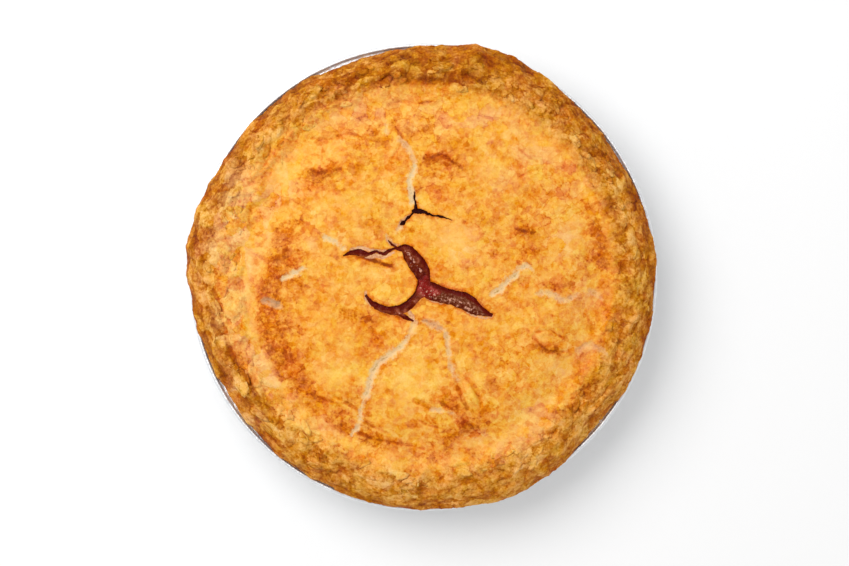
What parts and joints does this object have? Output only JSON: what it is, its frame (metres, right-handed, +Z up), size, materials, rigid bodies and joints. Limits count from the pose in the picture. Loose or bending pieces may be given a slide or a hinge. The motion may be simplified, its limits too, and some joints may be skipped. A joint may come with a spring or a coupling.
{
  "type": "strawberry rhubarb pie",
  "caption": "Whole double-crust fruit pie in its round foil tin, with a craggy rim and a golden lid that has torn open over a dark red filling.",
  "frame": {"origin": "middle of the tin's flat underside, on the table", "axes": "+Z up through the middle of the pie; seen from above with +X to the right, the long arm of the tear points right and a little towards -Y"},
  "size_m": [0.2455, 0.2442, 0.0467],
  "materials": {
    "foil": "bright pressed foil",
    "pastry": "baked, dry, rough",
    "fruit": "wet, glossy"
  },
  "bodies": {
    "root": {"tin": "foil", "crust": "pastry", "filling": "fruit"}
  },
  "joints": []
}
